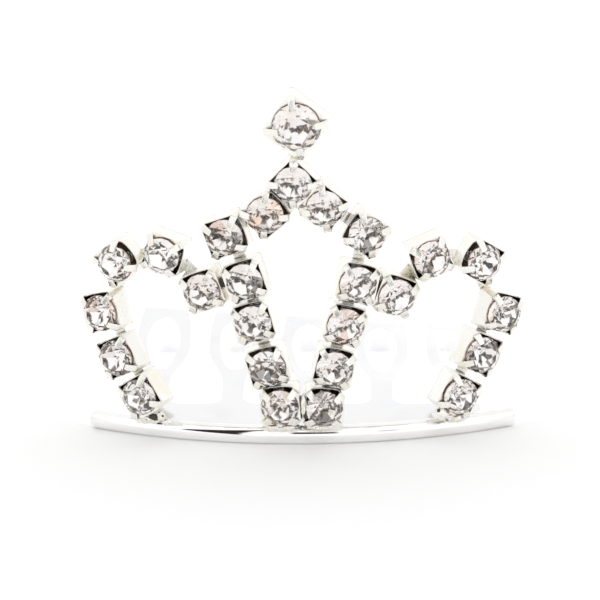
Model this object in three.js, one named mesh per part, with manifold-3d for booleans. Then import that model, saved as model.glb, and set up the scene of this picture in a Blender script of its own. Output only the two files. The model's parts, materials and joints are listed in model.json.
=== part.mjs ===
// A small tiara on a hair comb: four-prong square cups with clear round stones, soldered into a
// crown outline on a curved round bar, with a stamped five-tooth comb soldered behind the bar.
// Millimetres, +Z up, the front of the tiara faces -Y. It stands on the bar and the comb's tips.
import * as THREE from 'three';
import { ConvexGeometry } from 'three/addons/geometries/ConvexGeometry.js';
import { mergeVertices } from 'three/addons/utils/BufferGeometryUtils.js';
import Module from 'manifold-3d';

const wasm = await Module();
wasm.setup();

// Driving dimensions
const STONE_DIAMETER = 3.9;      // the 25 stones of the crown
const FINIAL_DIAMETER = 5.0;     // the larger stone on top
const LINK_GAP = 1.0;            // from one stone's edge to the next at a full step of the chain
const CUP_WALL = 0.3;
const CUP_DEPTH = 2.5;           // back of a cup to its rim
const CUP_FLOOR = 0.55;          // thickness of a cup's back plate
const CUP_RIM_OVER = 0.15;       // how far a cup's side stands outside its stone
const CUP_CORNER = 0.2;          // cut of a cup's corners at its back plate
const PRONG_WIDTH = 0.75;
const PRONG_THICKNESS = 0.3;
const STONE_CLEARANCE = 0.3;     // between a stone and the metal that holds it
const LINK_WIDTH = 1.3;
const LINK_THICKNESS = 0.5;
const BAR_DIAMETER = 2.0;
const BAR_FLAT = 0.05;           // what the bar's flat underside takes off its height
const BAR_RADIUS = 47;           // plan radius of the bar and of the crown above it
const BAR_LENGTH = 46.6;         // along the bar's arc
const CUP_SETBACK = 1.5;         // the cups' backs lie this far behind the bar's axis
const COMB_THICKNESS = 0.6;
const TOOTH_PITCH = 7.95;
const TOOTH_COUNT = 5;
const COMB_SHIFT = 0.5;          // the comb is soldered a little to the right of the middle
const COMB_DEPTH = 31.8;         // from the bar's axis to the comb's tips
const COMB_RISE = 5.6;           // height of the arch of the middle tooth
const STRIP_DEPTH = 4.5;         // from the bar's axis to the comb strip's back edge
const STEM_WIDTH = 2.3;
const RING_WIDTH = 5.9;
const HOLE_WIDTH = 3.6;
const TIP_WIDTH = 2.6;
const FILLET = 1.3;              // between the strip and a tooth's stem

const PITCH = STONE_DIAMETER + LINK_GAP;
const BAR_TOP = BAR_DIAMETER - BAR_FLAT;
const BAR_AXIS = BAR_DIAMETER / 2 - BAR_FLAT;

// The chains of cups. Each row is one cup: the direction of the step to it and the cup's own turn
// in degrees, measured from the bar's direction, and the step's length in pitches. The starts and
// the finial are measured in pitches from the middle of the bar's top.
const CHAINS = [
  { name: 'arm_left', start: { across: -0.45, up: 0.49 }, cups: [
    { step: 0, heading: 0, turn: 94 },
    { step: 0.91, heading: 106, turn: 105 },
    { step: 1.03, heading: 106, turn: 105 },
    { step: 0.94, heading: 100, turn: 108 },
    { step: 1.04, heading: 113, turn: 110 },
    { step: 0.99, heading: 31, turn: 41 },
    { step: 0.89, heading: 49, turn: 45 },
  ] },
  { name: 'arm_right', start: { across: 0.47, up: 0.45 }, cups: [
    { step: 0, heading: 0, turn: 85 },
    { step: 0.91, heading: 76, turn: 76 },
    { step: 0.98, heading: 76, turn: 75 },
    { step: 0.95, heading: 74, turn: 77 },
    { step: 1.1, heading: 80, turn: 147 },
    { step: 1.06, heading: 145, turn: 142 },
  ] },
  { name: 'lobe_left', start: { across: -3.48, up: 0.53 }, cups: [
    { step: 0, heading: 0, turn: 123 },
    { step: 0.97, heading: 122, turn: 115 },
    { step: 1.03, heading: 110, turn: 104 },
    { step: 1.21, heading: 72, turn: 41 },
    { step: 1.1, heading: 15, turn: -15 },
    { step: 1.14, heading: -41, turn: 20 },
  ] },
  { name: 'lobe_right', start: { across: 3.38, up: 0.52 }, cups: [
    { step: 0, heading: 0, turn: 59 },
    { step: 1.01, heading: 60, turn: 63 },
    { step: 0.98, heading: 60, turn: 72 },
    { step: 1.3, heading: 111, turn: 147 },
    { step: 1.17, heading: 170, turn: 18 },
    { step: 1.09, heading: -134, turn: -21 },
  ] },
];
const FINIAL = { across: -0.05, up: 6.67, turn: 53 };
// Cups of different chains that touch and are soldered together.
const SOLDERED = [
  ['arm_left_1', 'arm_right_1'], ['arm_left_7', 'arm_right_6'],
  ['lobe_left_6', 'arm_left_4'], ['lobe_right_6', 'arm_right_4'], ['arm_left_7', 'finial'],
];
const FEET = ['arm_left_1', 'arm_right_1', 'lobe_left_1', 'lobe_right_1'];

// A prong, in shares of its stone's radius: how far it reaches down the cup's corner and up over
// the stone, and the outer and inner side of its tip.
const PRONG = { root: 0.5, over: 0.38, tipOuter: 1.02, tipInner: 0.84 };
const CUP_POCKET = 0.5;          // width of a cup's hollow at its floor, as a share of its stone

// The rings of a stone's corners from its table to its girdle, in shares of its radius. The phase
// is a share of the angle between two corners.
const STONE_RINGS = [
  { corners: 8, radius: 0.56, height: 0.5, phase: 0 },
  { corners: 8, radius: 0.8, height: 0.31, phase: 0.5 },
  { corners: 16, radius: 1, height: 0, phase: 0 },
];
const GIRDLE = 0.1;              // thickness of a stone's edge, as a share of its radius
const PAVILION = 0.72;           // depth of a stone below its girdle, as a share of its radius

// Side view of the comb's sheet, as shares of COMB_DEPTH behind the bar's axis and COMB_RISE.
const COMB_PROFILE = [
  { back: 0.0, height: 0.1 }, { back: 0.13, height: 0.44 }, { back: 0.27, height: 0.6 },
  { back: 0.45, height: 0.72 }, { back: 0.62, height: 0.86 }, { back: 0.74, height: 0.95 },
  { back: 0.83, height: 1.0 }, { back: 0.9, height: 0.92 }, { back: 0.96, height: 0.6 },
  { back: 1.0, height: 0.0 },
];
const COMB_TWIST = 0.24;         // the left teeth arch higher than the right ones by such shares
// Where the parts of a tooth begin, as shares of the sheet's length from the bar to the tip.
const TOOTH = { neck: 0.26, widest: 0.5, holeStart: 0.35, holeEnd: 0.69, crest: 0.83, tip: 1 };
// A tooth's hole: its width near the bar as a share of HOLE_WIDTH, the shares of its length at
// which it has grown to its full width and at which its rounded far end begins, and how blunt its
// near end is.
const HOLE = { throat: 0.62, grown: 0.6, round: 0.55, blunt: 6 };
// The stretches that a tooth is made of, with the number of steps in each.
const TOOTH_STRETCHES = [
  { to: 'fillet', steps: 3, round: false }, { to: 'holeStart', steps: 1, round: false },
  { to: 'holeEnd', steps: 12, round: true }, { to: 'crest', steps: 5, round: false },
  { to: 'tip', steps: 3, round: false },
];
const BAR_SIDES = 12;
const BAR_STEPS = 20;
const SEAM = 0.04;               // overlap that joins the two halves of a tooth

const finishes = {
  silver: new THREE.MeshStandardMaterial({ color: 0xe9e8e6, roughness: 0.12, metalness: 1 }),
  crystal: new THREE.MeshStandardMaterial({ color: 0xf3eeee, roughness: 0.03, metalness: 0.1 }),
};

// Six times the volume inside a closed mesh, negative if its faces point inward.
function signedVolume(points, faces) {
  let sum = 0;
  for (let f = 0; f < faces.length; f += 3) {
    const [a, b, c] = [points[faces[f]], points[faces[f + 1]], points[faces[f + 2]]];
    sum += a.dot(new THREE.Vector3().crossVectors(b, c));
  }
  return sum;
}

// A closed mesh through sections that have the same number of corners, in order.
function loft(sections) {
  const corners = sections[0].length;
  const points = sections.flat();
  const faces = [];
  for (let s = 0; s + 1 < sections.length; s += 1) {
    for (let c = 0; c < corners; c += 1) {
      const a = s * corners + c;
      const b = s * corners + ((c + 1) % corners);
      faces.push(a, b, b + corners, a, b + corners, a + corners);
    }
  }
  const last = (sections.length - 1) * corners;
  for (let c = 1; c + 1 < corners; c += 1) {
    faces.push(0, c + 1, c, last, last + c, last + c + 1);
  }
  if (signedVolume(points, faces) < 0) faces.reverse();
  const geometry = new THREE.BufferGeometry().setFromPoints(points);
  geometry.setIndex(faces);
  return geometry;
}

function toSolid(geometry, matrix = new THREE.Matrix4()) {
  const bare = geometry.clone().applyMatrix4(matrix);
  bare.deleteAttribute('normal');
  bare.deleteAttribute('uv');
  const merged = mergeVertices(bare, 1e-5);
  return new wasm.Manifold(new wasm.Mesh({
    numProp: 3,
    vertProperties: Float32Array.from(merged.attributes.position.array),
    triVerts: Uint32Array.from(merged.index.array),
  }));
}

function toGeometry(solid) {
  const mesh = solid.getMesh();
  const geometry = new THREE.BufferGeometry();
  geometry.setAttribute('position', new THREE.Float32BufferAttribute(mesh.vertProperties, 3));
  geometry.setIndex(Array.from(mesh.triVerts));
  geometry.computeVertexNormals();
  return geometry;
}

// The place on the crown's curved face that lies across and up, in mm: X runs along the bar,
// Y up the crown and Z out of its front. The plane Z = 0 goes through the backs of the cups.
function placeOnCrown(across, up, turn = 0) {
  const angle = across / BAR_RADIUS;
  const along = new THREE.Vector3(Math.cos(angle), Math.sin(angle), 0);
  const out = new THREE.Vector3(Math.sin(angle), -Math.cos(angle), 0);
  const radius = BAR_RADIUS - CUP_SETBACK;
  const origin = new THREE.Vector3(0, BAR_RADIUS, 0).addScaledVector(out, radius).setZ(up);
  return new THREE.Matrix4()
    .makeBasis(along, new THREE.Vector3(0, 0, 1), out)
    .setPosition(origin)
    .multiply(new THREE.Matrix4().makeRotationZ(THREE.MathUtils.degToRad(turn)));
}

function walkChains() {
  const cups = [];
  for (const chain of CHAINS) {
    let across = chain.start.across * PITCH;
    let up = BAR_TOP + chain.start.up * PITCH;
    chain.cups.forEach((cup, index) => {
      const heading = THREE.MathUtils.degToRad(cup.heading);
      across += Math.cos(heading) * cup.step * PITCH;
      up += Math.sin(heading) * cup.step * PITCH;
      cups.push({
        name: `${chain.name}_${index + 1}`,
        diameter: STONE_DIAMETER,
        across,
        up,
        turn: cup.turn,
        before: index > 0 ? `${chain.name}_${index}` : null,
      });
    });
  }
  cups.push({
    name: 'finial',
    diameter: FINIAL_DIAMETER,
    across: FINIAL.across * PITCH,
    up: BAR_TOP + FINIAL.up * PITCH,
    turn: FINIAL.turn,
    before: null,
  });
  return cups;
}

// A round stone with an eight-sided table, star and kite facets and a pointed back. Z = 0 is the
// underside of its girdle, and its front faces +Z.
function stoneGeometry(diameter) {
  const r = diameter / 2;
  const edgeRing = STONE_RINGS[STONE_RINGS.length - 1];
  const underside = { ...edgeRing, height: -GIRDLE };
  const points = [new THREE.Vector3(0, 0, -PAVILION * r)];
  for (const ring of [...STONE_RINGS, underside]) {
    for (let k = 0; k < ring.corners; k += 1) {
      const angle = ((k + ring.phase) / ring.corners) * 2 * Math.PI;
      const z = (ring.height + GIRDLE) * r;
      points.push(new THREE.Vector3(
        Math.cos(angle) * ring.radius * r, Math.sin(angle) * ring.radius * r, z));
    }
  }
  return new ConvexGeometry(points);
}

function seatHeight(diameter) {
  return CUP_DEPTH * Math.sqrt(diameter / STONE_DIAMETER);
}

// The eight corners of a square with cut corners, in the plane at height z.
function cutSquare(side, cut, z) {
  const h = side / 2;
  const inset = h - cut;
  const corners = [[h, -inset], [h, inset], [inset, h], [-inset, h],
    [-h, inset], [-h, -inset], [-inset, -h], [inset, -h]];
  return corners.map(([x, y]) => new THREE.Vector3(x, y, z));
}

// One cup with its pocket and its four corner prongs, its back plate on Z = 0.
function cupSolid(diameter) {
  const side = diameter + 2 * CUP_RIM_OVER;
  const cut = PRONG_WIDTH / Math.SQRT2;
  const depth = seatHeight(diameter);
  const r = diameter / 2;
  const mouth = side - 2 * CUP_WALL;
  const floor = CUP_POCKET * diameter;
  const octagon = 1 - Math.SQRT1_2;
  let cup = toSolid(loft([
    cutSquare(floor, octagon * floor, CUP_FLOOR),
    cutSquare(mouth, octagon * mouth, depth),
    cutSquare(side, cut, depth),
    cutSquare(side, CUP_CORNER, 0),
  ]));
  const corner = side / Math.SQRT2 - PRONG_WIDTH / 2 + PRONG_THICKNESS / 4;
  const girdleTop = depth + STONE_CLEARANCE + GIRDLE * r;
  const half = PRONG_WIDTH / 2;
  // Outer and inner distance from the cup's axis and height, along a prong from root to tip.
  const spine = [
    { outer: corner, inner: corner - PRONG_THICKNESS, z: depth - PRONG.root * r },
    { outer: corner, inner: r + STONE_CLEARANCE, z: girdleTop },
    { outer: PRONG.tipOuter * r, inner: PRONG.tipInner * r, z: girdleTop + PRONG.over * r },
  ];
  for (let k = 0; k < 4; k += 1) {
    const sections = spine.map((row) => [
      new THREE.Vector3(row.inner, -half, row.z),
      new THREE.Vector3(row.outer, -half, row.z),
      new THREE.Vector3(row.outer, half, row.z),
      new THREE.Vector3(row.inner, half, row.z),
    ]);
    const turn = new THREE.Matrix4().makeRotationZ(Math.PI / 4 + (k * Math.PI) / 2);
    cup = cup.add(toSolid(loft(sections), turn));
  }
  return cup;
}

// A flat bar between two points that lie in the cups' back plates.
function linkSolid(from, to, facing) {
  const run = new THREE.Vector3().subVectors(to, from);
  const along = run.clone().normalize();
  const across = new THREE.Vector3().crossVectors(facing, along).normalize();
  const out = new THREE.Vector3().crossVectors(along, across);
  const bar = new THREE.BoxGeometry(run.length(), LINK_WIDTH, LINK_THICKNESS);
  const middle = new THREE.Vector3().addVectors(from, to).multiplyScalar(0.5);
  const matrix = new THREE.Matrix4().makeBasis(along, across, out).setPosition(middle);
  return toSolid(bar, matrix);
}

function pointInBack(cup) {
  return new THREE.Vector3(0, 0, CUP_FLOOR / 2).applyMatrix4(cup.matrix);
}

function barSolid() {
  const half = BAR_LENGTH / 2 / BAR_RADIUS;
  const r = BAR_DIAMETER / 2;
  const sections = [];
  for (let s = 0; s <= BAR_STEPS; s += 1) {
    const angle = -half + (s / BAR_STEPS) * 2 * half;
    const section = [];
    for (let k = 0; k < BAR_SIDES; k += 1) {
      const around = ((k + 0.5) / BAR_SIDES) * 2 * Math.PI;
      const radius = BAR_RADIUS + Math.cos(around) * r;
      const z = Math.max(0, BAR_AXIS + Math.sin(around) * r);
      section.push(new THREE.Vector3(
        Math.sin(angle) * radius, BAR_RADIUS - Math.cos(angle) * radius, z));
    }
    sections.push(section);
  }
  return toSolid(loft(sections));
}

const combCurve = new THREE.CatmullRomCurve3(COMB_PROFILE.map((row) => new THREE.Vector3(
  0, row.back * COMB_DEPTH, row.height * COMB_RISE)), false, 'centripetal');

// From the middle tooth to the outermost one.
function combHalfSpan() {
  return ((TOOTH_COUNT - 1) / 2) * TOOTH_PITCH;
}

// A point on the comb's sheet: share along it from the bar, sideways place, and side of the sheet.
function onComb(share, x, lift) {
  const point = combCurve.getPointAt(share);
  const tangent = combCurve.getTangentAt(share);
  const up = new THREE.Vector3(0, -tangent.z, tangent.y);
  const sideways = (x - COMB_SHIFT) / combHalfSpan();
  point.z *= 1 - COMB_TWIST * share * sideways;
  point.addScaledVector(up, lift);
  return new THREE.Vector3(x, point.y, Math.max(0, point.z));
}

// Share of the sheet's length at which it is a given distance behind the bar's axis.
function shareAtDepth(depth) {
  let low = 0;
  let high = 1;
  for (let n = 0; n < 40; n += 1) {
    const mid = (low + high) / 2;
    if (combCurve.getPointAt(mid).y < depth) low = mid;
    else high = mid;
  }
  return low;
}

function smooth(t) {
  const u = Math.min(1, Math.max(0, t));
  return u * u * (3 - 2 * u);
}

// Half the width of a tooth and of its hole at a share along the sheet.
function toothHalfWidth(share, edge, length) {
  const past = (share - edge) * length;
  if (past < FILLET) {
    const drop = Math.max(0, past) / FILLET;
    return STEM_WIDTH / 2 + FILLET * (1 - Math.sqrt(Math.max(0, 1 - (1 - drop) ** 2)));
  }
  if (share < TOOTH.widest) {
    const grow = smooth((share - TOOTH.neck) / (TOOTH.widest - TOOTH.neck));
    return (STEM_WIDTH + (RING_WIDTH - STEM_WIDTH) * grow) / 2;
  }
  const away = Math.min(1, (share - TOOTH.widest) / (TOOTH.crest - TOOTH.widest));
  return (TIP_WIDTH + (RING_WIDTH - TIP_WIDTH) * Math.sqrt(1 - away * away)) / 2;
}

function holeHalfWidth(share) {
  const t = (share - TOOTH.holeStart) / (TOOTH.holeEnd - TOOTH.holeStart);
  if (t <= 0 || t >= 1) return 0;
  const width = HOLE.throat + (1 - HOLE.throat) * smooth(t / HOLE.grown);
  const near = Math.sqrt(1 - Math.max(0, 1 - 2 * t) ** HOLE.blunt);
  const far = Math.sqrt(1 - (Math.max(0, t - HOLE.round) / (1 - HOLE.round)) ** 2);
  return (HOLE_WIDTH / 2) * width * near * far;
}

function toothSolid(centre, edge) {
  const length = combCurve.getLength();
  const root = edge - 0.5 * COMB_THICKNESS / length;
  const shares = [root];
  for (const stretch of TOOTH_STRETCHES) {
    const from = shares[shares.length - 1];
    const to = stretch.to === 'fillet' ? edge + FILLET / length : TOOTH[stretch.to];
    for (let n = 1; n <= stretch.steps; n += 1) {
      const t = n / stretch.steps;
      const eased = stretch.round ? (1 - Math.cos(Math.PI * t)) / 2 : t;
      shares.push(from + (to - from) * eased);
    }
  }
  let tooth = null;
  for (const side of [-1, 1]) {
    const sections = shares.map((share) => {
      const hole = holeHalfWidth(share);
      const inner = centre + side * (hole > 0 ? hole : -SEAM);
      const outer = centre + side * toothHalfWidth(share, edge, length);
      return [
        onComb(share, inner, -COMB_THICKNESS / 2), onComb(share, outer, -COMB_THICKNESS / 2),
        onComb(share, outer, COMB_THICKNESS / 2), onComb(share, inner, COMB_THICKNESS / 2),
      ];
    });
    const half = toSolid(loft(sections));
    tooth = tooth ? tooth.add(half) : half;
  }
  return tooth;
}

function stripSolid(edge) {
  const reach = combHalfSpan() + STEM_WIDTH / 2 + FILLET;
  const steps = 4 * TOOTH_COUNT;
  const sections = [];
  for (let n = 0; n <= steps; n += 1) {
    const x = COMB_SHIFT - reach + (2 * reach * n) / steps;
    const barBack = BAR_RADIUS - Math.sqrt(BAR_RADIUS ** 2 - x ** 2);
    const front = shareAtDepth(barBack);
    sections.push([
      onComb(front, x, -COMB_THICKNESS / 2), onComb(edge, x, -COMB_THICKNESS / 2),
      onComb(edge, x, COMB_THICKNESS / 2), onComb(front, x, COMB_THICKNESS / 2),
    ]);
  }
  return toSolid(loft(sections));
}

const cups = walkChains();
const byName = new Map();
for (const cup of cups) {
  cup.matrix = placeOnCrown(cup.across, cup.up, cup.turn);
  byName.set(cup.name, cup);
}

const edge = shareAtDepth(STRIP_DEPTH);
const metal = [barSolid(), stripSolid(edge)];
for (let n = 0; n < TOOTH_COUNT; n += 1) {
  metal.push(toothSolid(COMB_SHIFT - combHalfSpan() + n * TOOTH_PITCH, edge));
}
for (const cup of cups) {
  metal.push(cupSolid(cup.diameter).transform(cup.matrix.elements));
}
const joined = SOLDERED.concat(cups.filter((cup) => cup.before).map((cup) => [cup.name, cup.before]));
for (const [a, b] of joined) {
  const from = pointInBack(byName.get(a));
  const to = pointInBack(byName.get(b));
  const facing = new THREE.Vector3(0, 0, 1).transformDirection(byName.get(a).matrix);
  metal.push(linkSolid(from, to, facing));
}
for (const name of FEET) {
  const cup = byName.get(name);
  const from = pointInBack(cup);
  const to = new THREE.Vector3(from.x, from.y, BAR_AXIS);
  const facing = new THREE.Vector3(0, 0, 1).transformDirection(cup.matrix);
  metal.push(linkSolid(from, to, facing));
}
const frame = metal.reduce((whole, piece) => whole.add(piece));

const tiara = new THREE.Group();
const frameMesh = new THREE.Mesh(toGeometry(frame), finishes.silver);
frameMesh.name = 'silver_frame';
tiara.add(frameMesh);
for (const cup of cups) {
  const stone = new THREE.Mesh(stoneGeometry(cup.diameter), finishes.crystal);
  stone.name = `stone_${cup.name}`;
  const seat = new THREE.Matrix4().makeTranslation(0, 0, seatHeight(cup.diameter) + STONE_CLEARANCE);
  stone.applyMatrix4(new THREE.Matrix4().multiplyMatrices(cup.matrix, seat));
  tiara.add(stone);
}

const box = new THREE.Box3().setFromObject(tiara);
const middle = box.getCenter(new THREE.Vector3());
tiara.position.set(-middle.x, -middle.y, -box.min.z);

export default tiara;
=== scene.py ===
"""A small tiara comb: silver-plated square cups with clear round stones, soldered into a crown
outline on a curved round bar, with a stamped comb behind. Metres, +Z up, front towards -Y."""

import json
import math
import random

import bmesh
import bpy
import numpy as np
from mathutils import Matrix, Vector


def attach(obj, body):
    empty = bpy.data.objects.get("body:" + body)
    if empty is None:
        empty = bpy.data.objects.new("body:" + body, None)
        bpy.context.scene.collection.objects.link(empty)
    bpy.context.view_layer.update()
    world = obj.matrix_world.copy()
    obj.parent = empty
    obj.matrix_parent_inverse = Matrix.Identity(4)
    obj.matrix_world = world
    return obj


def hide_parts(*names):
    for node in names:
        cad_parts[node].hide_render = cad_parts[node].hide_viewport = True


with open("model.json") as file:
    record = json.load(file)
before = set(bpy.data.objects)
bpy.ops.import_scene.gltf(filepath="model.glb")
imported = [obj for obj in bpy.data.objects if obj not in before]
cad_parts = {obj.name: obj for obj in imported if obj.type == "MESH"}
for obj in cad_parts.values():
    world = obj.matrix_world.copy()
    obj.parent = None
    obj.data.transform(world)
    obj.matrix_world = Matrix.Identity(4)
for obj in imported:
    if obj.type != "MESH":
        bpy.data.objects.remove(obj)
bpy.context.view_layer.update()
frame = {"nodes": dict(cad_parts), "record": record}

MM = 0.001

# Sizes that the metal shares with the solids, in metres
STONE_DIAMETER = 3.9 * MM
CUP_RIM_OVER = 0.15 * MM
CUP_DEPTH = 2.5 * MM
STONE_CLEARANCE = 0.3 * MM
PRONG_WIDTH = 0.75 * MM
BAR_DIAMETER = 2.0 * MM
BAR_FLAT = 0.05 * MM
BAR_RADIUS = 47 * MM
BAR_LENGTH = 46.6 * MM
COMB_THICKNESS = 0.6 * MM
TOOTH_PITCH = 7.95 * MM
TOOTH_COUNT = 5
COMB_SHIFT = 0.5 * MM
COMB_DEPTH = 31.8 * MM
COMB_RISE = 5.6 * MM
STRIP_DEPTH = 4.5 * MM
STEM_WIDTH = 2.3 * MM
RING_WIDTH = 5.9 * MM
HOLE_WIDTH = 3.6 * MM
TIP_WIDTH = 2.6 * MM
FILLET = 1.3 * MM
CUP_FLOOR = 0.55 * MM
BAR_END = 0.35 * MM
BAR_SIDES, BAR_STEPS = 48, 150
CAP_START, CAP_STEPS = 0.15, 8
# Columns of the comb's mesh: in half a tooth and between two teeth; and its rows, from the strip out
HALF_COLUMNS, BETWEEN_COLUMNS = 6, 3
STRIP_ROWS, FILLET_ROWS, STEM_ROWS, RING_ROWS, CREST_ROWS, TIP_ROWS = 8, 8, 14, 40, 16, 10
# The comb's side view: depth behind the bar's axis and height, as shares of COMB_DEPTH and COMB_RISE
COMB_PROFILE = [
    (0.0, 0.1), (0.13, 0.44), (0.27, 0.6), (0.45, 0.72), (0.62, 0.86),
    (0.74, 0.95), (0.83, 1.0), (0.9, 0.92), (0.96, 0.6), (1.0, 0.0),
]
PROFILE_STEPS, SLOPE_STEP = 60, 0.002
# How much flatter the comb's right end is than its middle, as a share that grows along the teeth;
# its left end is as much higher
COMB_TWIST = 0.24
# Places along a tooth, as shares of the comb's length
TOOTH_NECK, TOOTH_WIDEST, TOOTH_CREST, HOLE_START, HOLE_END = 0.26, 0.5, 0.83, 0.35, 0.69
# A tooth's hole: its first width as a share, the share of its length in which it grows to the full
# width, where its far end starts to round off, and how blunt its near end is
HOLE_THROAT, HOLE_GROWN, HOLE_ROUND, HOLE_BLUNT = 0.62, 0.6, 0.55, 6

# How each cup is turned in the crown's face, in degrees from the bar's direction
CUP_TURNS = {
    "arm_left": [94, 105, 105, 108, 110, 41, 45],
    "arm_right": [85, 76, 75, 77, 147, 142],
    "lobe_left": [123, 115, 104, 41, -15, 20],
    "lobe_right": [59, 63, 72, 147, 18, -21],
}
FINIAL_TURN = 53
# Cups that stand on the bar, and pairs of cups that are soldered where their chains touch
FEET = ["arm_left_1", "arm_right_1", "lobe_left_1", "lobe_right_1"]
SOLDERED = [
    ("arm_left_1", "arm_right_1"), ("arm_left_7", "arm_right_6"),
    ("lobe_left_6", "arm_left_4"), ("lobe_right_6", "arm_right_4"), ("arm_left_7", "finial"),
]

# The camera, at the photograph's angle
CAMERA_AZIMUTH, CAMERA_ELEVATION, CAMERA_ROLL = 1.0, 17.0, -0.62
CAMERA_LENS = 210
CAMERA_DISTANCE = 367.5 * MM
CAMERA_AIM = Vector((-0.122, 3.481, 14.662)) * MM

# Darker gaps between the lamps of the lit tent, in degrees: left and right side, the low and high
# edge at the left side, the same at the right side, and how dark as a share
DARK_GAPS = [
    (-34, -17, (19, 30), (0, 74), 1.0),
    (-18, -9, (51, 68), (61, 79), 1.0),
    (-4, 9, (22, 44), (23, 40), 1.0),
    (9, 14, (68, 76), (60, 68), 0.9),
    (20, 26, (22, 32), (22, 32), 0.5),
    (20, 26, (72, 82), (72, 82), 0.5),
]
GAP_COLOR = (0.03, 0.028, 0.027, 1.0)
GAP_SOFTNESS = 0.015
# Brightness of the tent's walls, and of the backdrop that the camera sees straight on
TENT_FRONT, TENT_SIDES, TENT_BACK, TENT_LOW_BACK, BACKDROP = 1.12, 0.96, 1.0, 1.12, 1.2
# Top of the brighter low back wall, in degrees, and the square of a direction's X from which it
# meets a side wall
LOW_BACK_TOP, LOW_BACK_SOFTNESS = 27, 0.06
SIDES_START, WALL_SOFTNESS = 0.6, 0.15
# How much the paper glows as painted light, in front of the bar and behind it (where it hides the
# comb's shadow), and the step between
PAPER_GLOW_OPEN, PAINTED_GLOW_UNDER_COMB = 0.09, 0.3
PAPER_STEP = 0.6 * MM
FLOOR_REACH, FLOOR_DROP = 0.6, 0.02 * MM


class Value:
    """A socket in a node tree that can be used in sums, as a number would be."""

    def __init__(self, sheet, socket):
        self.sheet = sheet
        self.socket = socket

    def _math(self, operation, first, second):
        return self.sheet.add("ShaderNodeMath", {"operation": operation}, {0: first, 1: second})

    def __add__(self, other):
        return self._math("ADD", self, other)

    def __sub__(self, other):
        return self._math("SUBTRACT", self, other)

    def __rsub__(self, other):
        return self._math("SUBTRACT", other, self)

    def __mul__(self, other):
        return self._math("MULTIPLY", self, other)

    __radd__ = __add__
    __rmul__ = __mul__

    def above(self, edge, softness):
        """0 below the edge, 1 above it, with a soft step between."""
        return self.sheet.add(
            "ShaderNodeMapRange", {"interpolation_type": "SMOOTHSTEP"},
            {"Value": self, "From Min": edge - softness, "From Max": edge + softness})

    def within(self, low, high, softness):
        """1 between two edges and 0 outside them, with soft steps."""
        return self.above(low, softness) * (1 - self.above(high, softness))


class Sheet:
    """The node tree of one material or of the surroundings."""

    def __init__(self, tree):
        self.tree = tree
        tree.nodes.clear()

    def add(self, kind, settings=None, links=None, output=0):
        """Adds a node: settings first, then a value or a link for each named socket."""
        node = self.tree.nodes.new(kind)
        for name, setting in (settings or {}).items():
            setattr(node, name, setting)
        for name, value in (links or {}).items():
            socket = self._open_socket(node, name)
            if isinstance(value, Value):
                self.tree.links.new(value.socket, socket)
            else:
                socket.default_value = value
        return Value(self, node.outputs[output]) if node.outputs else None

    @staticmethod
    def _open_socket(node, name):
        if isinstance(name, int):
            return node.inputs[name]
        return next(s for s in node.inputs if s.name == name and s.enabled)

    def mix(self, factor, first, second):
        return self.add(
            "ShaderNodeMix", {"data_type": "RGBA"}, {"Factor": factor, "A": first, "B": second},
            output=2)

    def noise(self, scale, detail, roughness):
        where = self.add("ShaderNodeTexCoord", output=3)
        return self.add(
            "ShaderNodeTexNoise", None,
            {"Vector": where, "Scale": scale, "Detail": detail, "Roughness": roughness})

    def bump(self, height, strength, distance):
        return self.add(
            "ShaderNodeBump", None,
            {"Strength": strength, "Distance": distance, "Height": height})


def color(red, green, blue):
    return (red, green, blue, 1.0)


def new_material(name):
    """A material with an empty sheet; returns both."""
    material = bpy.data.materials.new(name)
    material.use_nodes = True
    return material, Sheet(material.node_tree)


def finish_material(sheet, links):
    shader = sheet.add("ShaderNodeBsdfPrincipled", None, links)
    sheet.add("ShaderNodeOutputMaterial", None, {"Surface": shader})


def plated_silver(name, clean, warm, roughness, ripple):
    """Bright silver plate: warm where it is thin, slightly rippled and unevenly polished."""
    material, sheet = new_material(name)
    cloud = sheet.noise(260.0, 3.0, 0.55)
    thin = cloud.above(0.56, 0.12)
    fine = sheet.noise(2600.0, 4.0, 0.6)
    wave = sheet.noise(420.0, 1.0, 0.4)
    finish_material(sheet, {
        "Base Color": sheet.mix(thin, clean, warm),
        "Metallic": 1.0,
        "Roughness": fine * 0.06 + (cloud * 0.05 + roughness),
        "Normal": sheet.bump(wave + fine * 0.06, 0.5, ripple),
    })
    return material


def solder_metal(name):
    """Solder that ran and set: lumpy, greyer and yellower than the plate."""
    material, sheet = new_material(name)
    lumps = sheet.noise(1300.0, 3.0, 0.6)
    finish_material(sheet, {
        "Base Color": sheet.mix(lumps.above(0.58, 0.15), color(0.96, 0.955, 0.94),
                                color(0.86, 0.8, 0.64)),
        "Metallic": 1.0,
        "Roughness": lumps * 0.2 + 0.15,
        "Normal": sheet.bump(lumps, 0.8, 0.06 * MM),
    })
    return material


def cup_lining(name):
    """The inside of a cup: pale at the rim and darker brown further down, as deep as the mesh says;
    the darkening is painted shade in the recess, in patches.
    """
    material, sheet = new_material(name)
    depth = sheet.add("ShaderNodeAttribute", {"attribute_name": "below_rim"}, output=2)
    patches = sheet.noise(1500.0, 3.0, 0.6)
    # Painted shade: the lining turns dark brown the deeper it lies below the rim, broken by noise
    # patches.
    painted_shade = (depth + patches * 0.3 - 0.15).above(0.45, 0.3)
    finish_material(sheet, {
        "Base Color": sheet.mix(painted_shade, color(0.9, 0.87, 0.8), color(0.2, 0.14, 0.1)),
        "Metallic": 0.9,
        "Roughness": patches * 0.2 + 0.25,
    })
    return material


def cut_glass(name):
    material, sheet = new_material(name)
    marks = sheet.noise(900.0, 2.0, 0.5)
    finish_material(sheet, {
        "Base Color": sheet.mix(marks, color(1.0, 0.995, 0.995), color(0.99, 0.985, 0.985)),
        "Roughness": 0.0,
        "IOR": 1.56,
        "Transmission Weight": 1.0,
    })
    return material


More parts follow.
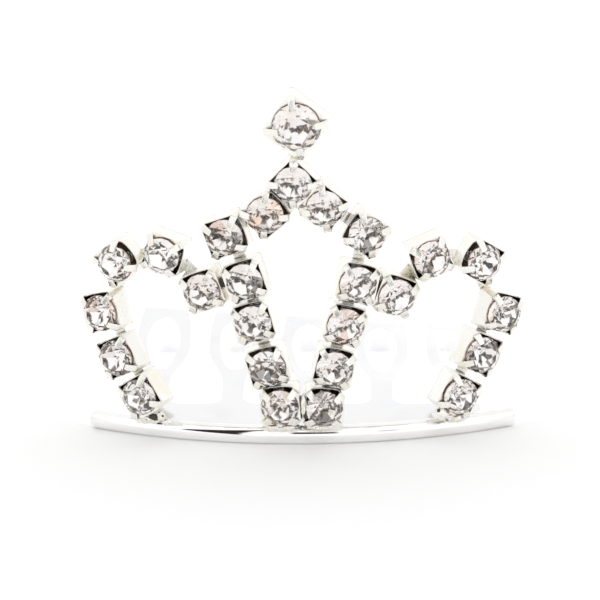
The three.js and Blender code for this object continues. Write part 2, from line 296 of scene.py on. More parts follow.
def foil_back(name):
    """Mirror foil behind the stone; each facet's tint is kept in the mesh, and some tints are painted
    reflections and painted fire.
    """
    material, sheet = new_material(name)
    tint = sheet.add("ShaderNodeAttribute", {"attribute_name": "facet_tint"})
    marks = sheet.noise(2200.0, 2.0, 0.5)
    finish_material(sheet, {
        "Base Color": sheet.mix(marks * 0.06, tint, color(0.7, 0.66, 0.64)),
        "Metallic": 1.0,
        "Roughness": 0.09,
    })
    return material


def back_lacquer(name):
    """The dark brown lacquer over the foil, seen where a cup's wall is cut low."""
    material, sheet = new_material(name)
    marks = sheet.noise(1800.0, 3.0, 0.6)
    finish_material(sheet, {
        "Base Color": sheet.mix(marks, color(0.03, 0.021, 0.015), color(0.075, 0.055, 0.042)),
        "Roughness": marks * 0.2 + 0.3,
    })
    return material


def lacquer_edge(name):
    """The copper-brown lacquer that shows as a thin line round each stone."""
    material, sheet = new_material(name)
    marks = sheet.noise(3000.0, 2.0, 0.5)
    finish_material(sheet, {
        "Base Color": sheet.mix(marks, color(0.42, 0.27, 0.19), color(0.62, 0.47, 0.38)),
        "Metallic": 0.6,
        "Roughness": 0.25,
    })
    return material


def grey(level):
    return color(level, level, level)


def paper_floor(name, middle):
    """White paper that glows as painted light, brighter behind the bar where the comb would shade it.
    """
    material, sheet = new_material(name)
    grain = sheet.noise(40.0, 4.0, 0.6)
    place = sheet.add("ShaderNodeTexCoord", output=3)
    reach = sheet.add("ShaderNodeVectorMath", {"operation": "DISTANCE"}, {0: place, 1: middle},
                      output=1)
    in_front = reach.above(BAR_RADIUS - PAPER_STEP, PAPER_STEP)
    finish_material(sheet, {
        "Base Color": sheet.mix(grain, grey(0.93), grey(0.96)),
        "Roughness": 0.9,
        "Specular IOR Level": 0.1,
        # Painted light: the paper glows brighter inside the bar's arc, under the comb, so its shadow
        # washes out.
        "Emission Color": sheet.mix(in_front, grey(PAINTED_GLOW_UNDER_COMB), grey(PAPER_GLOW_OPEN)),
        "Emission Strength": 1.0,
    })
    return material


def set_shading(mesh, smooth_angle):
    """Flat facets without an angle; otherwise smooth, with edges kept above that angle."""
    if smooth_angle is None:
        mesh.shade_flat()
    else:
        mesh.shade_smooth()
        mesh.set_sharp_from_angle(angle=math.radians(smooth_angle))


def as_piece(name, mesh, materials, node, smooth_angle=None):
    """Puts a finished mesh in the scene as a piece that stands for a solid of the frame."""
    for material in materials:
        mesh.materials.append(material)
    set_shading(mesh, smooth_angle)
    piece = bpy.data.objects.new(name, mesh)
    bpy.context.scene.collection.objects.link(piece)
    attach(piece, "root")
    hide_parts(node)
    return piece


def add_modifier(piece, kind, **settings):
    modifier = piece.modifiers.new(kind.title(), kind)
    for name, value in settings.items():
        setattr(modifier, name, value)


def mesh_from(bm, name):
    bmesh.ops.recalc_face_normals(bm, faces=bm.faces)
    mesh = bpy.data.meshes.new(name)
    bm.to_mesh(mesh)
    bm.free()
    return mesh


# From how far out a corner of a stone's solid counts as one of its edge, as a share of the radius
RIM_SHARE = 0.98


class Seat:
    """Where a stone sits, read from its solid: centre of its girdle's underside and its facing."""

    def __init__(self, stone, turn):
        node = frame["nodes"]["stone_" + stone]
        points = np.array([v.co for v in node.data.vertices])
        points = np.unique(points.round(8), axis=0)
        middle = points.mean(axis=0)
        axis = np.linalg.svd(points - middle)[2][2]
        height = (points - middle) @ axis
        if height.max() > -height.min():
            axis, height = -axis, -height
        reach = np.linalg.norm(points - middle - np.outer(height, axis), axis=1)
        self.stone = stone
        self.radius = float(reach.max())
        girdle = height[reach > RIM_SHARE * self.radius].min()
        self.centre = Vector(middle + axis * girdle)
        self.facing = Vector(axis)
        upright = Vector((0, 0, 1))
        across = upright.cross(self.facing).normalized()
        up = self.facing.cross(across)
        spin = Matrix.Rotation(math.radians(turn), 4, "Z")
        self.matrix = Matrix.Translation(self.centre) @ Matrix(
            (across, up, self.facing)).transposed().to_4x4() @ spin
        self.depth = CUP_DEPTH * math.sqrt(2 * self.radius / STONE_DIAMETER)
        drop = self.depth + STONE_CLEARANCE
        self.cup_matrix = self.matrix @ Matrix.Translation((0, 0, -drop))


def all_seats():
    seats = {"finial": Seat("finial", FINIAL_TURN)}
    for chain, turns in CUP_TURNS.items():
        for number, turn in enumerate(turns, 1):
            stone = f"{chain}_{number}"
            seats[stone] = Seat(stone, turn)
    return seats


def ring_of(radius, z, count, phase=0.0):
    step = 2 * math.pi / count
    return [Vector((radius * math.cos((k + phase) * step), radius * math.sin((k + phase) * step), z))
            for k in range(count)]


# A stone's cut as shares of its radius: width of the table, height of the crown, thickness of the
# edge, depth of the back, the rings of corners half way up and down, and the lacquer's thickness
TABLE, CROWN, GIRDLE, PAVILION = 0.56, 0.5, 0.1, 0.72
CROWN_MID, PAVILION_MID = 0.8, 0.8
COAT, COAT_POINT = 0.02, 0.02
# How far a stone may lean in its cup, in degrees
STONE_LEAN = 4
# Tints of the foil behind the facets, each with its weight in the draw: the dark grey ones are
# painted dark reflections, and the blue and orange ones painted fire
FOIL_TINTS_AND_PAINTED_LIGHT = [((0.985, 0.97, 0.96), 16), ((0.96, 0.93, 0.91), 9), ((0.91, 0.865, 0.835), 3),
         ((0.4, 0.375, 0.36), 0.9), ((0.82, 0.68, 0.61), 0.9), ((0.5, 0.64, 0.97), 0.15),
         ((0.97, 0.74, 0.6), 0.15)]


def make_stone(seat, finishes, dice):
    """A round stone with a table, eight stars, eight kites and a brilliant-cut foiled back."""
    r = seat.radius
    eighth = math.cos(math.pi / 8)
    mid_z = GIRDLE + CROWN * (1 - CROWN_MID * eighth) / (1 - TABLE)
    low_z = -PAVILION * (1 - PAVILION_MID * eighth)
    bm = bmesh.new()

    def ring(radius, z, count, phase=0.0):
        return [bm.verts.new(p) for p in ring_of(radius * r, z * r, count, phase)]

    table = ring(TABLE, GIRDLE + CROWN, 8)
    middle = ring(CROWN_MID, mid_z, 8, 0.5)
    upper = ring(1.0, GIRDLE, 16)
    lower = ring(1.0, 0.0, 16)
    below = ring(PAVILION_MID, low_z, 8, 0.5)
    culet = bm.verts.new((0, 0, -PAVILION * r))
    glass_faces, lacquer_faces, foil_faces = [table], [], []
    for k in range(8):
        after = (k + 1) % 8
        even, odd, following = 2 * k, 2 * k + 1, (2 * k + 2) % 16
        glass_faces += [
            [table[k], middle[k], table[after]],
            [table[k], middle[k - 1], upper[even], middle[k]],
            [middle[k], upper[even], upper[odd]],
            [middle[k], upper[odd], upper[following]],
        ]
        lacquer_faces += [
            [upper[even], lower[even], lower[odd], upper[odd]],
            [upper[odd], lower[odd], lower[following], upper[following]],
        ]
        foil_faces += [
            [below[k], lower[odd], lower[even]],
            [below[k], lower[following], lower[odd]],
            [culet, below[k], lower[even], below[k - 1]],
        ]
    tint = bm.faces.layers.float_color.new("facet_tint")
    coat_faces = coat_shell(ring, low_z)
    for index, group in enumerate((glass_faces, foil_faces, lacquer_faces, coat_faces)):
        for corners in group:
            face = bm.faces.new(corners)
            face.material_index = index
            # The draw gives some facets painted dark reflections and some blue and orange painted
            # fire.
            shade = dice.choices([t for t, _ in FOIL_TINTS_AND_PAINTED_LIGHT], [w for _, w in FOIL_TINTS_AND_PAINTED_LIGHT])[0]
            face[tint] = (*shade, 1.0)
    spin = Matrix.Rotation(dice.uniform(0, math.pi / 4), 4, "Z")
    lean = Matrix.Rotation(math.radians(dice.uniform(-STONE_LEAN, STONE_LEAN)), 4, "X")
    # The same turn serves twice: for the cut, and then for the side that the stone leans to
    bm.transform(seat.matrix @ spin @ lean @ spin)
    mesh = mesh_from(bm, "stone_" + seat.stone)
    as_piece("cut_stone_" + seat.stone, mesh, finishes, "stone_" + seat.stone)


def coat_shell(ring, low_z):
    """A thin closed shell of lacquer round the back of a stone, from its girdle to its point."""
    shells = []
    for gap in (0.1 * COAT, COAT):
        rim = ring(1.0, -gap, 16)
        waist = ring(PAVILION_MID + gap, low_z - gap, 8, 0.5)
        point = ring(COAT_POINT, -PAVILION - gap, 8)
        shells.append((rim, waist, point))
    faces = []
    for rim, waist, point in shells:
        for k in range(8):
            after = (k + 1) % 8
            even, odd, following = 2 * k, 2 * k + 1, (2 * k + 2) % 16
            faces += [
                [waist[k], rim[odd], rim[even]], [waist[k], rim[following], rim[odd]],
                [waist[k], rim[even], waist[k - 1]],
                [waist[k - 1], point[k], waist[k]], [waist[k], point[k], point[after]],
            ]
        faces.append(point)
    (inner, _, _), (outer, _, _) = shells
    faces += [[inner[k - 1], inner[k], outer[k], outer[k - 1]] for k in range(16)]
    return faces


def cup_outline(side, cut, steps):
    """Points round a square with cut corners, each with its share along its side and the side."""
    h = side / 2
    inset = h - cut
    corners = [(h, -inset), (h, inset), (inset, h), (-inset, h),
               (-h, inset), (-h, -inset), (-inset, -h), (inset, -h)]
    points = []
    for k in range(8):
        (x0, y0), (x1, y1) = corners[k], corners[(k + 1) % 8]
        wall = k // 2 if k % 2 == 0 else None
        count = CORNER_STEPS if wall is None else steps
        for n in range(count):
            t = n / count
            points.append((x0 + (x1 - x0) * t, y0 + (y1 - y0) * t, t, wall))
    return points


WALL = 0.16 * MM
RIM_RISE = 0.32 * MM
CORNER_CUT = 0.2 * MM
# How low a cup's wall is cut between its prongs, where a link of the chain passes and elsewhere
LINK_DIP, WALL_DIP = 0.75 * MM, 0.05 * MM
# How often a wall without a link is folded in over its corners; the top cup has all four folded
WEB_CHANCE = 0.75
WALL_STEPS, CORNER_STEPS = 10, 3
# Heights of the rings of a cup's walls as shares, and the back plate's width inside its rounded edge
WALL_ROWS = [0.0, 0.08, 0.3, 0.55, 0.75, 0.9, 1.0]
BACK_PLATE_SHARE = 0.95
CUP_BEVEL, COMB_BEVEL = 0.05 * MM, 0.1 * MM
# A prong from its root to its tip: distance from the middle and height over the girdle, as
# shares of the stone's radius, and its width
PRONG_PATH = [(1.3, -0.06, 1.0), (1.24, 0.05, 0.98), (1.12, 0.15, 0.95), (0.98, 0.24, 0.92),
              (0.86, 0.31, 0.88), (0.77, 0.36, 0.75)]
# How far a prong may lean to one side, and how far in it may reach, as shares
PRONG_TILT, PRONG_REACH = 0.1, (0.96, 1.05)


def walls_towards(seat, others):
    """The walls of a cup, numbered 0 to 3, that face its neighbours in the chain."""
    inward = seat.matrix.inverted()
    places = [inward @ other.centre for other in others]
    return {round(math.atan2(p.y, p.x) / (math.pi / 2)) % 4 for p in places}


def raise_walls(bm, seat, linked_walls):
    """Rings of corners from a cup's back plate up to its rim, which dips between the prongs."""
    side = 2 * (seat.radius + CUP_RIM_OVER)
    rim = cup_outline(side, PRONG_WIDTH / math.sqrt(2), WALL_STEPS)
    back = cup_outline(side, CORNER_CUT, WALL_STEPS)
    below = bm.verts.layers.float.new("below_rim")
    rows = []
    for share in WALL_ROWS:
        row = []
        for (x, y, t, wall), (back_x, back_y, _, _) in zip(rim, back):
            deepest = LINK_DIP if wall in linked_walls else WALL_DIP
            dip = 0.0 if wall is None else deepest * math.sin(math.pi * t) ** 0.5
            top = seat.depth + RIM_RISE - dip
            shrink = BACK_PLATE_SHARE if share == 0.0 else 1.0
            x_here = (back_x + (x - back_x) * share) * shrink
            y_here = (back_y + (y - back_y) * share) * shrink
            vert = bm.verts.new((x_here, y_here, top * share))
            vert[below] = (1 - share) * seat.depth / MM
            row.append(vert)
        rows.append(row)
    skin(bm, rows)
    return rows


def fold_webs(bm, rim, radius, linked_walls, dice):
    """Folds walls that carry no link in over the cup's corners, as far as the stone's edge."""
    mouth = [vert.co.xy.normalized() * radius for vert in rim]
    chance = WEB_CHANCE if linked_walls else 1.0
    webbed = [wall for wall in range(4) if wall not in linked_walls and dice.random() < chance]
    for wall in webbed:
        start = wall * (WALL_STEPS + CORNER_STEPS)
        edge = [(start + n) % len(rim) for n in range(WALL_STEPS + 1)]
        inner = [bm.verts.new((*mouth[n], rim[n].co.z)) for n in edge]
        for n in range(WALL_STEPS):
            bm.faces.new([rim[edge[n]], rim[edge[n + 1]], inner[n + 1], inner[n]])


def raise_prongs(bm, rim, seat, dice):
    """Four prongs that rise from the corners and bend in over the stone, each a bit askew."""
    r = seat.radius
    girdle = seat.depth + STONE_CLEARANCE + GIRDLE * r
    for corner in range(4):
        start = corner * (WALL_STEPS + CORNER_STEPS) + WALL_STEPS
        before = [rim[(start + n) % len(rim)] for n in range(CORNER_STEPS + 1)]
        angle = math.pi / 4 + corner * math.pi / 2
        out = Vector((math.cos(angle), math.sin(angle), 0))
        sideways = Vector((-out.y, out.x, 0))
        tilt = dice.uniform(-PRONG_TILT, PRONG_TILT)
        reach = dice.uniform(*PRONG_REACH)
        for distance, height, width in PRONG_PATH:
            fresh = []
            for n in range(CORNER_STEPS + 1):
                offset = (n / CORNER_STEPS - 0.5) * PRONG_WIDTH * width
                lean = tilt * (PRONG_PATH[0][0] - distance) * r
                p = out * (distance * reach * r) + sideways * (offset + lean)
                fresh.append(bm.verts.new((p.x, p.y, girdle + height * r)))
            for n in range(CORNER_STEPS):
                bm.faces.new([before[n], before[n + 1], fresh[n + 1], fresh[n]])
            before = fresh


def make_cup(seat, linked_walls, finishes, dice):
    """A stamped square cup: back plate, four walls that dip between the corners, four prongs."""
    bm = bmesh.new()
    rows = raise_walls(bm, seat, linked_walls)
    fold_webs(bm, rows[-1], seat.radius, linked_walls, dice)
    bm.faces.new(list(reversed(rows[0])))
    raise_prongs(bm, rows[-1], seat, dice)
    bm.transform(seat.cup_matrix)
    mesh = mesh_from(bm, "cup_" + seat.stone)
    piece = as_piece("cup_" + seat.stone, mesh, finishes, "silver_frame", 40)
    add_modifier(piece, "SOLIDIFY", thickness=WALL, offset=-1.0,
                 material_offset=1, material_offset_rim=0)
    add_modifier(piece, "BEVEL", width=CUP_BEVEL, segments=2, limit_method="ANGLE",
                 angle_limit=math.radians(40))


LINK_WIDTH = 1.3 * MM
LINK_THICKNESS = 0.5 * MM
RIB_PITCH = 0.32 * MM
RIB_STEPS = 8


def make_link(name, start, end, facing, plate):
    """A flat strip with ribs across it, from one cup's back plate to the next or to the bar."""
    along = (end - start).normalized()
    across = facing.cross(along).normalized()
    out = along.cross(across)
    length = (end - start).length
    steps = max(RIB_STEPS, int(length / RIB_PITCH * RIB_STEPS))
    bm = bmesh.new()
    rows = []
    for n in range(steps + 1):
        place = start + along * (length * n / steps)
        rib = 0.5 + 0.5 * math.cos(2 * math.pi * length * n / steps / RIB_PITCH)
        half = LINK_WIDTH / 2 * (0.94 + 0.06 * rib)
        front = LINK_THICKNESS * (0.15 + 0.35 * rib)
        back = -LINK_THICKNESS / 2
        corners = [(-half, back), (half, back), (half, front * 0.7), (half * 0.8, front),
                   (-half * 0.8, front), (-half, front * 0.7)]
        rows.append([bm.verts.new(place + across * x + out * z) for x, z in corners])
    skin(bm, rows, ends=True)
    mesh = mesh_from(bm, name)
    as_piece(name, mesh, [plate], "silver_frame", 50)


# Runs of solder: place across the crown, above the floor and in front of the bar's axis, and
# half sizes the same way, in mm
SOLDER_RUNS = {
    "between_the_middle_cups": ((0.2, 4.75, 1.75), (0.32, 1.25, 0.5)),
    "under_left_middle_cup": ((-2.1, 2.2, 0.85), (1.9, 0.42, 0.75)),
    "under_right_middle_cup": ((2.4, 2.2, 0.85), (1.9, 0.42, 0.75)),
    "left_foot_bead": ((-14.6, 2.8, 1.5), (0.42, 0.55, 0.35)),
    "left_foot_end": ((-13.9, 2.0, 0.7), (1.2, 0.3, 0.4)),
    "left_foot": ((-16.6, 2.1, 0.6), (1.3, 0.35, 0.7)),
    "right_foot": ((14.5, 2.8, 1.2), (1.0, 0.68, 0.45)),
    "right_foot_end": ((16.4, 2.2, 0.8), (1.3, 0.42, 0.7)),
    "finial_bead": ((-0.45, 30.9, 2.5), (0.42, 0.42, 0.4)),
    "finial_joint": ((0.2, 31.7, 1.3), (0.55, 0.6, 0.5)),
    "top_joint": ((0.46, 25.95, 1.4), (0.6, 0.42, 0.45)),
    "right_shoulder": ((2.04, 29.0, 2.3), (0.35, 0.35, 0.3)),
}
# Pits in the solder, the same way: small blobs made dark with painted shade, where a pit lies in
# shadow
SOLDER_PITS = {
    "right_foot": ((14.13, 3.3, 1.55), (0.2, 0.2, 0.12)),
    "middle": ((0.42, 3.6, 2.1), (0.22, 0.24, 0.15)),
    "left_foot": ((-14.35, 2.9, 1.75), (0.12, 0.14, 0.1)),
    "left_foot_hollow": ((-15.5, 2.45, 1.1), (0.6, 0.36, 0.25)),
}


def make_solder(name, place, size, metal, dice):
    """A small run of solder, flattened along the joint and uneven all round."""
    bm = bmesh.new()
    bmesh.ops.create_icosphere(bm, subdivisions=4, radius=1.0)
    # Six draws, of which the shape uses the first four
    phases = [dice.uniform(0, 6.28) for _ in range(6)]
    for v in bm.verts:
        p = v.co
        swell = 1 + 0.12 * math.sin(5 * p.x + phases[0]) * math.sin(4 * p.y + phases[1])
        swell += 0.08 * math.sin(9 * p.z + phases[2]) * math.sin(7 * p.x + phases[3])
        v.co = Vector((p.x * size[0], p.y * size[2], p.z * size[1])) * swell * MM
    bm.transform(place)
    mesh = mesh_from(bm, name)
    as_piece(name, mesh, [metal], "silver_frame", 60)


def bar_origin():
    """The point of the bar's axis at the middle of the crown, on the floor."""
    mounts = {m["name"]: m for m in frame["record"]["mounts"]}
    return Vector(mounts["bar_underside"]["pos_m"])


def place_on_crown(origin, across, up, out):
    """The frame of a place on the crown, in mm: X along the bar, Y backwards and Z up."""
    turn = Matrix.Rotation(across * MM / BAR_RADIUS, 4, "Z")
    centre = origin + Vector((0, BAR_RADIUS, 0))
    offset = Vector((0, -BAR_RADIUS - out * MM, up * MM))
    return Matrix.Translation(centre) @ turn @ Matrix.Translation(offset)


def make_bar(origin, plate):
    """A round bar on an arc, with its ends rounded off and a flat worn under it."""
    radius = BAR_DIAMETER / 2
    half = BAR_LENGTH / 2 / BAR_RADIUS
    rounding = np.linspace(CAP_START, math.pi / 2, CAP_STEPS)
    cap = [(1 - math.cos(t), math.sin(t)) for t in rounding]
    left = [(-half + BAR_END * back / BAR_RADIUS, radius - BAR_END * (1 - out)) for back, out in cap]
    middle = [(angle, radius) for angle in np.linspace(left[-1][0], -left[-1][0], BAR_STEPS)[1:-1]]
    stations = left + middle + [(-angle, size) for angle, size in reversed(left)]
    bm = bmesh.new()
    rows = []
    for angle, size in stations:
        row = []
        for around in np.linspace(0, 2 * math.pi, BAR_SIDES, endpoint=False):
            reach = BAR_RADIUS + math.cos(around) * size
            height = max(0.0, radius - BAR_FLAT + math.sin(around) * size)
            row.append(bm.verts.new(origin + Vector((
                math.sin(angle) * reach, BAR_RADIUS - math.cos(angle) * reach, height))))
        rows.append(row)
    skin(bm, rows, ends=True)
    mesh = mesh_from(bm, "bar")
    as_piece("bar", mesh, [plate], "silver_frame", 50)


def skin(bm, rows, ends=False):
    """Faces between rings of vertices, each ring closed on itself."""
    for low, high in zip(rows, rows[1:]):
        for k in range(len(low)):
            after = (k + 1) % len(low)
            bm.faces.new([low[k], low[after], high[after], high[k]])
    if ends:
        bm.faces.new(rows[0])
        bm.faces.new(list(reversed(rows[-1])))


class CombCurve:
    """The comb's side view as a smooth curve: place and slope at a share of its length."""

    def __init__(self):
        knots = [Vector((b * COMB_DEPTH, h * COMB_RISE)) for b, h in COMB_PROFILE]
        knots = [2 * knots[0] - knots[1]] + knots + [2 * knots[-1] - knots[-2]]
        points = []
        for quad in zip(knots, knots[1:], knots[2:], knots[3:]):
            points += [self._between(quad, t)
                       for t in np.linspace(0, 1, PROFILE_STEPS, endpoint=False)]
        points.append(knots[-2])
        self.points = np.array(points)
        steps = np.linalg.norm(np.diff(self.points, axis=0), axis=1)
        self.run = np.concatenate([[0], np.cumsum(steps)])
        self.length = float(self.run[-1])

    @staticmethod
    def _between(quad, t):
        """A point between the second and third of four knots, on a centripetal spline."""
        spans = [math.sqrt((b - a).length) for a, b in zip(quad, quad[1:])]
        times = [0, spans[0], spans[0] + spans[1], sum(spans)]
        now = times[1] + t * spans[1]

        def blend(first, second, start, stop):
            share = (now - start) / (stop - start)
            return first * (1 - share) + second * share

        level = [blend(quad[k], quad[k + 1], times[k], times[k + 1]) for k in range(3)]
        level = [blend(level[k], level[k + 1], times[k], times[k + 2]) for k in range(2)]
        return blend(level[0], level[1], times[1], times[2])

    def at(self, share):
        """Depth, height and the direction out of the sheet's top at a share of its length."""
        place = min(max(share, 0.0), 1.0) * self.length
        y, z = (float(np.interp(place, self.run, self.points[:, k])) for k in (0, 1))
        step = SLOPE_STEP * self.length
        ahead, behind = place + step, place - step
        dy, dz = (float(np.interp(ahead, self.run, self.points[:, k])
                        - np.interp(behind, self.run, self.points[:, k])) for k in (0, 1))
        size = math.hypot(dy, dz)
        return y, z, Vector((0, -dz / size, dy / size))

    def share_at_depth(self, depth):
        return float(np.interp(depth, self.points[:, 0], self.run)) / self.length


def smooth(t):
    u = min(1.0, max(0.0, t))
    return u * u * (3 - 2 * u)


def tooth_half_width(share, edge, length):
    """Half a tooth's width at a share of the comb's length: fillet, stem, ring and tip."""
    past = (share - edge) * length
    if past < FILLET:
        drop = max(0.0, past) / FILLET
        return STEM_WIDTH / 2 + FILLET * (1 - math.sqrt(max(0.0, 1 - (1 - drop) ** 2)))
    if share < TOOTH_WIDEST:
        grow = smooth((share - TOOTH_NECK) / (TOOTH_WIDEST - TOOTH_NECK))
        return (STEM_WIDTH + (RING_WIDTH - STEM_WIDTH) * grow) / 2
    away = min(1.0, (share - TOOTH_WIDEST) / (TOOTH_CREST - TOOTH_WIDEST))
    return (TIP_WIDTH + (RING_WIDTH - TIP_WIDTH) * math.sqrt(1 - away * away)) / 2


def hole_half_width(share):
    """Half the width of a tooth's hole at a share of the comb's length; 0 where there is none."""
    t = (share - HOLE_START) / (HOLE_END - HOLE_START)
    if t <= 0 or t >= 1:
        return 0.0
    width = HOLE_THROAT + (1 - HOLE_THROAT) * smooth(t / HOLE_GROWN)
    near = math.sqrt(1 - max(0.0, 1 - 2 * t) ** HOLE_BLUNT)
    far = math.sqrt(1 - (max(0.0, t - HOLE_ROUND) / (1 - HOLE_ROUND)) ** 2)
    return HOLE_WIDTH / 2 * width * near * far


def comb_columns(centres):
    """Places across the strip: close together at each tooth's root, wider between two teeth."""
    root = STEM_WIDTH / 2 + FILLET
    columns = []
    for n, centre in enumerate(centres):
        columns += list(np.linspace(centre - root, centre + root, 2 * HALF_COLUMNS + 1))
        if n + 1 < len(centres):
            gap = np.linspace(centre + root, centres[n + 1] - root, BETWEEN_COLUMNS + 2)
            columns += list(gap[1:-1])
    return columns


def tooth_rows(edge, length):
    """Shares of the comb's length at which a tooth has a row, closer where it curves more."""
    start, end = HOLE_START, HOLE_END
    shares = list(np.linspace(edge, edge + FILLET / length, FILLET_ROWS))
    shares += list(np.linspace(shares[-1], start, STEM_ROWS))[1:]
    shares += [start + (end - start) * (1 - math.cos(math.pi * t)) / 2
               for t in np.linspace(0, 1, RING_ROWS)[1:]]
    shares += [end + (TOOTH_CREST - end) * math.sin(math.pi / 2 * t)
               for t in np.linspace(0, 1, CREST_ROWS)[1:]]
    return shares + list(np.linspace(TOOTH_CREST, 1, TIP_ROWS))[1:]


def make_comb(origin, plate):
    """The stamped comb: a strip behind the bar and five looped teeth, as one sheet of metal."""
    curve = CombCurve()
    edge = curve.share_at_depth(STRIP_DEPTH)
    half_span = (TOOTH_COUNT - 1) / 2 * TOOTH_PITCH
    bm = bmesh.new()
    ups = {}

    def on_comb(share, x):
        y, z, up = curve.at(share)
        z *= 1 - COMB_TWIST * share * (x - COMB_SHIFT) / half_span
        vert = bm.verts.new((x, y, z))
        ups[vert] = up
        return vert

    def patch(rows):
        for low, high in zip(rows, rows[1:]):
            for k in range(len(low) - 1):
                corners = [low[k], low[k + 1], high[k + 1], high[k]]
                corners = [v for n, v in enumerate(corners) if v not in corners[:n]]
                if len(corners) > 2:
                    bm.faces.new(corners)

    centres = [COMB_SHIFT - half_span + n * TOOTH_PITCH for n in range(TOOTH_COUNT)]
    strip = []
    for row in range(STRIP_ROWS + 1):
        line = []
        for x in comb_columns(centres):
            back = BAR_RADIUS - math.sqrt(BAR_RADIUS ** 2 - x ** 2)
            front = curve.share_at_depth(back)
            line.append(on_comb(front + (edge - front) * row / STRIP_ROWS, x))
        strip.append(line)
    patch(strip)

    for n, centre in enumerate(centres):
        first = n * (2 * HALF_COLUMNS + 1 + BETWEEN_COLUMNS)
        halves = {side: [] for side in (-1, 1)}
        root_row = strip[-1][first:first + 2 * HALF_COLUMNS + 1]
        halves[-1].append(root_row[:HALF_COLUMNS + 1])
        halves[1].append(root_row[HALF_COLUMNS:])
        for share in tooth_rows(edge, curve.length)[1:]:
            hole = hole_half_width(share)
            outer = tooth_half_width(share, edge, curve.length)
            middle = on_comb(share, centre) if hole == 0 else None
            for side in (-1, 1):
                row = [on_comb(share, centre + side * (hole + (outer - hole) * k / HALF_COLUMNS))
                       for k in range(1, HALF_COLUMNS + 1)]
                row.insert(0, middle or on_comb(share, centre + side * hole))
                halves[side].append(row if side > 0 else row[::-1])
        patch(halves[-1])
        patch(halves[1])
    thicken(bm, ups, COMB_THICKNESS)
    bmesh.ops.translate(bm, vec=origin, verts=bm.verts)
    for vert in bm.verts:
        vert.co.z = max(0.0, vert.co.z)
    mesh = mesh_from(bm, "comb")
    piece = as_piece("comb", mesh, [plate], "silver_frame", 50)
    add_modifier(piece, "BEVEL", width=COMB_BEVEL, segments=2, limit_method="ANGLE",
                 angle_limit=math.radians(50))


def thicken(bm, ups, thickness):
    """Turns an open sheet into a closed one, half its thickness to each side."""
    faces = list(bm.faces)
    rims = [e for e in bm.edges if e.is_boundary]
    under = {v: bm.verts.new(v.co - up * (thickness / 2)) for v, up in ups.items()}
    for vert, up in ups.items():
        vert.co += up * (thickness / 2)
    for face in faces:
        bm.faces.new([under[v] for v in reversed(face.verts)])
    for rim in rims:
        a, b = rim.verts
        bm.faces.new([a, b, under[b], under[a]])


def add_floor(paper):
    mesh = bpy.data.meshes.new("floor")
    corners = [(x * FLOOR_REACH, y * FLOOR_REACH, 0) for x, y in ((-1, -1), (1, -1), (1, 1), (-1, 1))]
    mesh.from_pydata(corners, [], [(0, 1, 2, 3)])
    mesh.materials.append(paper)
    floor = bpy.data.objects.new("floor", mesh)
    floor.location.z = -FLOOR_DROP
    bpy.context.scene.collection.objects.link(floor)


def over_edge(azimuth, height, gap, at_left, at_right):
    """How far a direction lies above an edge that slants from one side of a gap to the other."""
    left, right = gap
    slope = (at_right - at_left) / (right - left)
    return height - azimuth * slope - math.radians(at_left - slope * left)


def light_surroundings():
    """A bright tent all round, with darker gaps between the lamps above the front."""
    world = bpy.data.worlds.new("studio")
    world.use_nodes = True
    bpy.context.scene.world = world
    sheet = Sheet(world.node_tree)
    place = sheet.add("ShaderNodeTexCoord", output=0)
    x, y, z = (sheet.add("ShaderNodeSeparateXYZ", None, {0: place}, output=k) for k in range(3))
    azimuth = sheet.add("ShaderNodeMath", {"operation": "ARCTAN2"}, {0: x, 1: 0 - y})
    height = sheet.add("ShaderNodeMath", {"operation": "ARCSINE"}, {0: z})
    dark = None
    for left, right, at_left, at_right, depth in DARK_GAPS:
        over_low, over_high = (
            over_edge(azimuth, height, (left, right), a, b).above(0.0, GAP_SOFTNESS)
            for a, b in zip(at_left, at_right))
        inside = azimuth.within(math.radians(left), math.radians(right), GAP_SOFTNESS)
        inside = inside * over_low * (1 - over_high) * depth
        dark = inside if dark is None else sheet.add(
            "ShaderNodeMath", {"operation": "MAXIMUM"}, {0: dark, 1: inside})
    high_up = height.above(math.radians(LOW_BACK_TOP), LOW_BACK_SOFTNESS)
    back_wall = sheet.mix(high_up, grey(TENT_LOW_BACK), grey(TENT_BACK))
    tent = sheet.mix(y.above(0.0, WALL_SOFTNESS), grey(TENT_FRONT), back_wall)
    tent = sheet.mix((x * x).above(SIDES_START, WALL_SOFTNESS), tent, grey(TENT_SIDES))
    lit = sheet.mix(dark, tent, GAP_COLOR)
    direct = sheet.add("ShaderNodeLightPath", output=0)
    tint = sheet.mix(direct, lit, grey(BACKDROP))
    glow = sheet.add("ShaderNodeBackground", None, {"Color": tint, "Strength": 1.0})
    sheet.add("ShaderNodeOutputWorld", None, {"Surface": glow})


def add_camera(origin):
    azimuth, elevation = math.radians(CAMERA_AZIMUTH), math.radians(CAMERA_ELEVATION)
    back = Vector((math.sin(azimuth) * math.cos(elevation),
                   -math.cos(azimuth) * math.cos(elevation), math.sin(elevation)))
    data = bpy.data.cameras.new("camera")
    data.sensor_width = 36
    data.sensor_fit = "HORIZONTAL"
    data.lens = CAMERA_LENS
    data.clip_start = 0.01
    camera = bpy.data.objects.new("camera", data)
    camera.location = origin + CAMERA_AIM + back * CAMERA_DISTANCE
    level = (-back).to_track_quat("-Z", "Y").to_matrix()
    roll = Matrix.Rotation(math.radians(CAMERA_ROLL), 3, "Z")
    camera.rotation_euler = (level @ roll).to_euler()
    bpy.context.scene.collection.objects.link(camera)
    bpy.context.scene.camera = camera


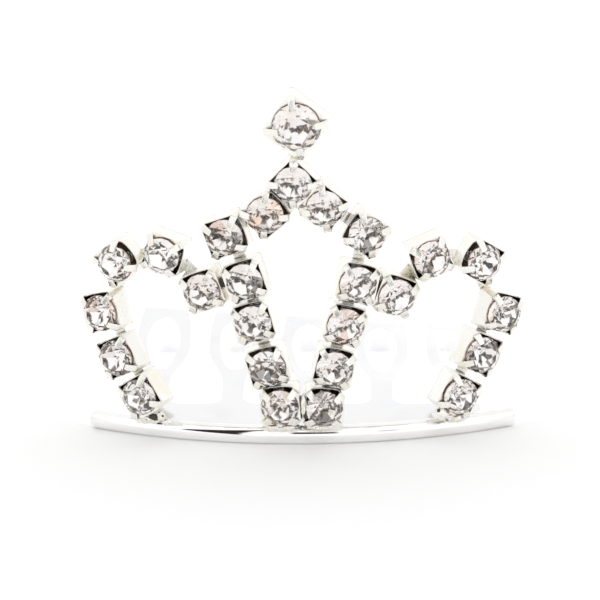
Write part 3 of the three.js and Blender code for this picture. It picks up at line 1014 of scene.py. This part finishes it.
dice = random.Random(5)
bpy.context.scene.view_settings.view_transform = "Standard"
origin = bar_origin()
add_camera(origin)
light_surroundings()
add_floor(paper_floor("white_paper", origin + Vector((0, BAR_RADIUS, 0))))

bar_plate = plated_silver("bar_plate", color(0.965, 0.962, 0.955), color(0.93, 0.92, 0.9), 0.0,
                          0.01 * MM)
comb_plate = plated_silver("comb_plate", color(0.942, 0.943, 0.952), color(0.915, 0.917, 0.928), 0.16,
                           0.01 * MM)
cup_plate = plated_silver("cup_plate", color(0.955, 0.94, 0.9), color(0.91, 0.875, 0.77), 0.22,
                          0.02 * MM)
link_plate = plated_silver("link_plate", color(0.97, 0.965, 0.945), color(0.9, 0.87, 0.8), 0.2,
                           0.02 * MM)
cup_finishes = [cup_plate, cup_lining("cup_lining")]
stone_finishes = [cut_glass("clear_glass"), foil_back("foil"), lacquer_edge("lacquer"),
                  back_lacquer("back_lacquer")]
solder = solder_metal("solder")
# The pits reuse the dark lacquer as painted shade.
pit_shade = back_lacquer("painted_pit_shade")

seats = all_seats()
chain_steps = [(f"{chain}_{n}", f"{chain}_{n + 1}")
               for chain, turns in CUP_TURNS.items() for n in range(1, len(turns))]
neighbours = {stone: [] for stone in seats}
for first, second in chain_steps:
    neighbours[first].append(seats[second])
    neighbours[second].append(seats[first])

make_bar(origin, bar_plate)
make_comb(origin, comb_plate)
for seat in seats.values():
    make_stone(seat, stone_finishes, dice)
    make_cup(seat, walls_towards(seat, neighbours[seat.stone]), cup_finishes, dice)
for name, (place, size) in SOLDER_RUNS.items():
    make_solder("solder_" + name, place_on_crown(origin, *place), size, solder, dice)
# Pits drawn as blobs of painted shade.
for name, (place, size) in SOLDER_PITS.items():
    make_solder("pit_" + name, place_on_crown(origin, *place), size, pit_shade, dice)


def back_of(stone):
    return seats[stone].cup_matrix @ Vector((0, 0, CUP_FLOOR / 2))


for first, second in chain_steps + SOLDERED:
    start, end = back_of(first), back_of(second)
    make_link(f"link_{first}_to_{second}", start, end, seats[first].facing, link_plate)
for stone in FEET:
    start = back_of(stone)
    foot = Vector((start.x, start.y, BAR_DIAMETER / 2))
    make_link(f"foot_{stone}", start, foot, seats[stone].facing, link_plate)
